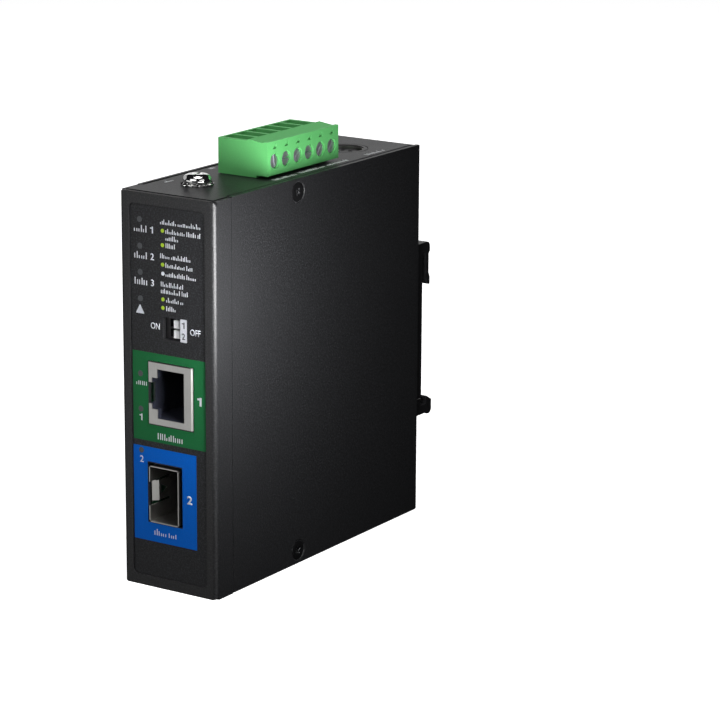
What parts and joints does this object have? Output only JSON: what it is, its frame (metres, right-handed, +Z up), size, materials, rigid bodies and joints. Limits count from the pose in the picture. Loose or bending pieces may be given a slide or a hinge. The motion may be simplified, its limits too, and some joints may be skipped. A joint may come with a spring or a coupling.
{
  "type": "fibre media converter",
  "caption": "Slim folded-metal industrial fibre media converter with a copper socket, a transceiver cage, a pluggable screw terminal, a round power socket and a rail clip.",
  "frame": {"origin": "centre of the bounding box footprint, on the base it stands on", "axes": "+Z up along the longest side; the front with its sockets faces -Y; +X is the right side, the shortest extent"},
  "size_m": [0.0288, 0.1032, 0.1111],
  "materials": {
    "case_black": "fine-textured semi-matte powder coat",
    "label_black": "fine-textured printed overlay",
    "screw_black": "black oxide",
    "nickel": "satin nickel",
    "bright_nickel": "bright nickel plate",
    "steel": "zinc plated",
    "board_green": "solder mask",
    "black_plastic": "moulded",
    "socket_plastic": "moulded",
    "plug_green": "moulded, slight sheen",
    "white_plastic": "moulded",
    "light_pipe": "milky clear",
    "lamp": "clear epoxy",
    "gold": "gold flash",
    "tin": "tin plated",
    "chip_black": "moulded epoxy",
    "ferrite": "sintered ferrite",
    "can": "sleeve and can",
    "sink": "anodised",
    "spring_steel": "spring wire"
  },
  "bodies": {
    "case": {"main_chassis": "case_black", "front_panel": "case_black", "right_cover": "case_black", "left_cover": "case_black", "front_label": "label_black", "cover_screws": "screw_black", "din_clip_screws": "screw_black", "ground_screw": "bright_nickel", "ground_washer": "bright_nickel", "main_board": "board_green", "board_standoffs": "steel", "board_screws": "steel", "network_socket_shell": "nickel", "transceiver_cage": "nickel", "power_socket_ring": "nickel", "network_socket_insert": "socket_plastic", "network_socket_contacts": "gold", "power_socket_contacts": "gold", "transceiver_connector": "black_plastic", "dip_switch_body": "black_plastic", "power_socket_body": "black_plastic", "din_clip": "black_plastic", "dip_switch_leads": "tin", "header_pins": "tin", "power_light_pipe": "light_pipe", "port_light_pipe": "light_pipe", "status_leds": "lamp", "terminal_header": "plug_green", "network_transformer": "chip_black", "interface_chip": "chip_black", "bridge_chip": "chip_black", "power_chip": "chip_black", "alarm_relay": "chip_black", "bridge_chip_heatsink": "sink", "power_transformer": "ferrite", "input_choke": "ferrite", "output_choke": "ferrite", "input_capacitor": "can", "output_capacitor": "can", "din_latch_spring": "spring_steel"},
    "slider_1": {"dip_slider_1": "white_plastic"},
    "slider_2": {"dip_slider_2": "white_plastic"},
    "plug": {"plug_body": "plug_green", "plug_contacts": "tin"},
    "latch": {"din_latch": "black_plastic"},
    "screw_1": {"clamp_screw_1": "steel"},
    "cage_1": {"clamp_cage_1": "steel"},
    "screw_2": {"clamp_screw_2": "steel"},
    "cage_2": {"clamp_cage_2": "steel"},
    "screw_3": {"clamp_screw_3": "steel"},
    "cage_3": {"clamp_cage_3": "steel"},
    "screw_4": {"clamp_screw_4": "steel"},
    "cage_4": {"clamp_cage_4": "steel"},
    "screw_5": {"clamp_screw_5": "steel"},
    "cage_5": {"clamp_cage_5": "steel"},
    "screw_6": {"clamp_screw_6": "steel"},
    "cage_6": {"clamp_cage_6": "steel"}
  },
  "joints": [
    {"name": "dip_slider_1_slide", "type": "slide", "parent": "case", "child": "slider_1", "axis": [-1, 0, 0], "range_m": [0, 0.0016]},
    {"name": "dip_slider_2_slide", "type": "slide", "parent": "case", "child": "slider_2", "axis": [-1, 0, 0], "range_m": [0, 0.0016]},
    {"name": "plug_lift", "type": "slide", "parent": "case", "child": "plug", "axis": [0, 0, 1], "range_m": [0, 0.012]},
    {"name": "din_latch_slide", "type": "slide", "parent": "case", "child": "latch", "axis": [0, 0, -1], "range_m": [0, 0.0035], "stiffness_N_per_m": 1500, "springref_m": -0.003, "deforming": ["din_latch_spring"]},
    {"name": "clamp_screw_1_turn", "type": "hinge", "parent": "plug", "child": "screw_1", "pos_m": [0.0062, -0.0187, 0.10565], "axis": [-1, 0, 0], "range_deg": [0, 1800]},
    {"name": "clamp_cage_1_rise", "type": "slide", "parent": "plug", "child": "cage_1", "axis": [1, 0, 0], "range_m": [0, 0.0025]},
    {"name": "clamp_screw_2_turn", "type": "hinge", "parent": "plug", "child": "screw_2", "pos_m": [0.0062, -0.01362, 0.10565], "axis": [-1, 0, 0], "range_deg": [0, 1800]},
    {"name": "clamp_cage_2_rise", "type": "slide", "parent": "plug", "child": "cage_2", "axis": [1, 0, 0], "range_m": [0, 0.0025]},
    {"name": "clamp_screw_3_turn", "type": "hinge", "parent": "plug", "child": "screw_3", "pos_m": [0.0062, -0.00854, 0.10565], "axis": [-1, 0, 0], "range_deg": [0, 1800]},
    {"name": "clamp_cage_3_rise", "type": "slide", "parent": "plug", "child": "cage_3", "axis": [1, 0, 0], "range_m": [0, 0.0025]},
    {"name": "clamp_screw_4_turn", "type": "hinge", "parent": "plug", "child": "screw_4", "pos_m": [0.0062, -0.00346, 0.10565], "axis": [-1, 0, 0], "range_deg": [0, 1800]},
    {"name": "clamp_cage_4_rise", "type": "slide", "parent": "plug", "child": "cage_4", "axis": [1, 0, 0], "range_m": [0, 0.0025]},
    {"name": "clamp_screw_5_turn", "type": "hinge", "parent": "plug", "child": "screw_5", "pos_m": [0.0062, 0.00162, 0.10565], "axis": [-1, 0, 0], "range_deg": [0, 1800]},
    {"name": "clamp_cage_5_rise", "type": "slide", "parent": "plug", "child": "cage_5", "axis": [1, 0, 0], "range_m": [0, 0.0025]},
    {"name": "clamp_screw_6_turn", "type": "hinge", "parent": "plug", "child": "screw_6", "pos_m": [0.0062, 0.0067, 0.10565], "axis": [-1, 0, 0], "range_deg": [0, 1800]},
    {"name": "clamp_cage_6_rise", "type": "slide", "parent": "plug", "child": "cage_6", "axis": [1, 0, 0], "range_m": [0, 0.0025]}
  ],
  "couplings": [
    {"joint": "clamp_screw_1_turn", "follows": "clamp_cage_1_rise", "rad_per_m": 12566},
    {"joint": "clamp_screw_2_turn", "follows": "clamp_cage_2_rise", "rad_per_m": 12566},
    {"joint": "clamp_screw_3_turn", "follows": "clamp_cage_3_rise", "rad_per_m": 12566},
    {"joint": "clamp_screw_4_turn", "follows": "clamp_cage_4_rise", "rad_per_m": 12566},
    {"joint": "clamp_screw_5_turn", "follows": "clamp_cage_5_rise", "rad_per_m": 12566},
    {"joint": "clamp_screw_6_turn", "follows": "clamp_cage_6_rise", "rad_per_m": 12566}
  ]
}
